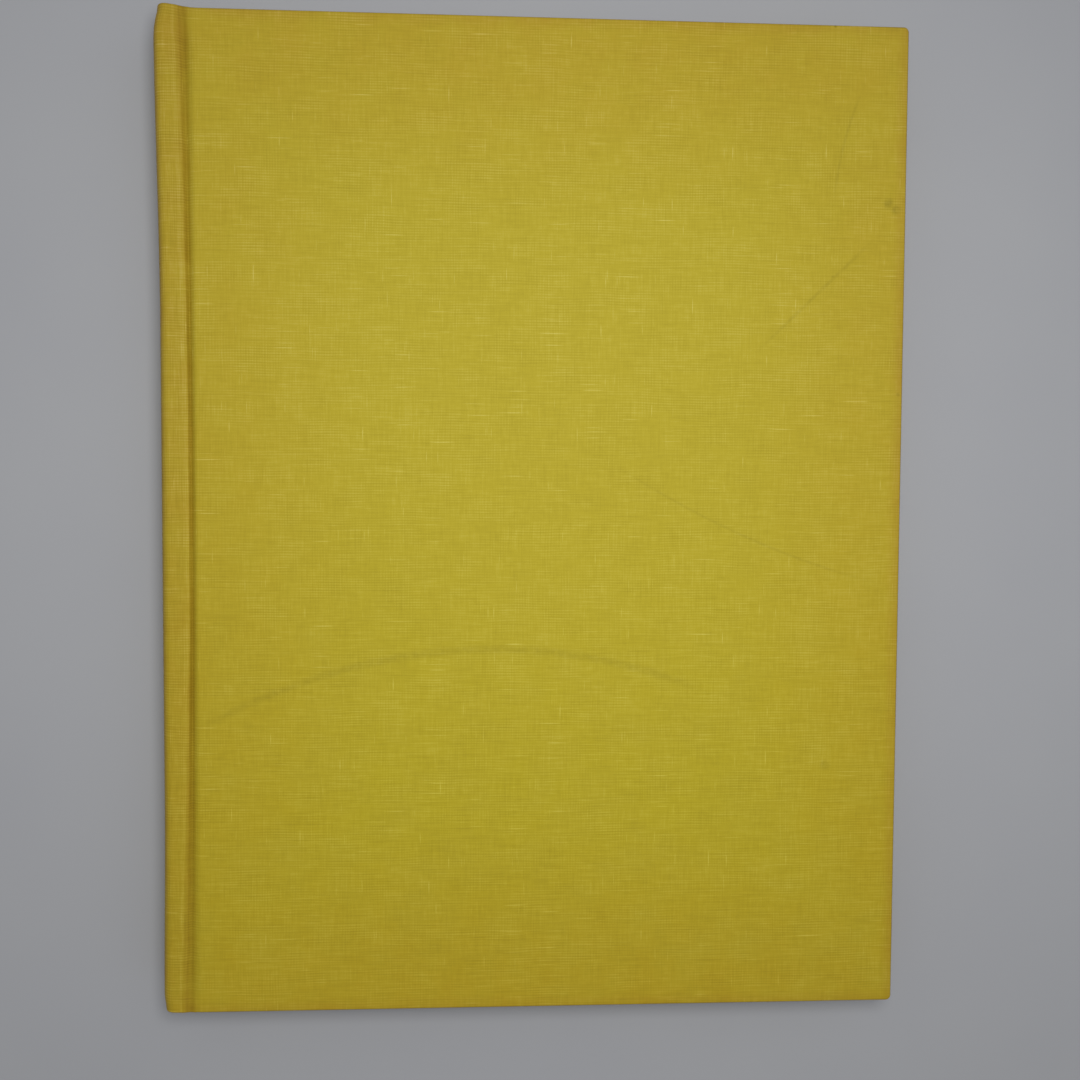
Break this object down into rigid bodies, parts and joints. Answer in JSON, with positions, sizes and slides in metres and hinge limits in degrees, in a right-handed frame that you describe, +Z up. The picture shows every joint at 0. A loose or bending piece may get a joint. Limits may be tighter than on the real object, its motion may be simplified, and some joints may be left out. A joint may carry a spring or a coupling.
{
  "type": "yearbook",
  "caption": "Case-bound yearbook in plain yellow cloth, with joint grooves, a hollow spine and covers that swing open at the endpaper folds.",
  "frame": {"origin": "under the middle of the closed book, on the surface that its back cover lies on", "axes": "+Z up through the front cover, +Y towards the head of the pages, spine towards -X and fore-edge towards +X"},
  "size_m": [0.2352, 0.3118, 0.0218],
  "materials": {
    "pages": "matte",
    "endpaper": "matte",
    "greyboard": "matte",
    "book_cloth": "matte",
    "inlay_card": "matte",
    "lining_gauze": "matte",
    "band_weave": "matte"
  },
  "bodies": {
    "text_block": {"text_block": "pages", "front_flyleaf": "endpaper", "back_flyleaf": "endpaper", "spine_lining": "lining_gauze", "head_band": "band_weave", "tail_band": "band_weave", "spine_inlay": "inlay_card", "spine_cloth": "book_cloth"},
    "front_cover": {"front_board": "greyboard", "front_cloth": "book_cloth", "front_pastedown": "endpaper"},
    "back_cover": {"back_board": "greyboard", "back_cloth": "book_cloth", "back_pastedown": "endpaper"}
  },
  "joints": [
    {"name": "front_hinge", "type": "hinge", "parent": "text_block", "child": "front_cover", "pos_m": [-0.11391, 0, 0.0181], "axis": [0, -1, 0], "range_deg": [0, 179.5]},
    {"name": "back_hinge", "type": "hinge", "parent": "text_block", "child": "back_cover", "pos_m": [-0.11391, 0, 0.0037], "axis": [0, 1, 0], "range_deg": [0, 179.5]}
  ]
}
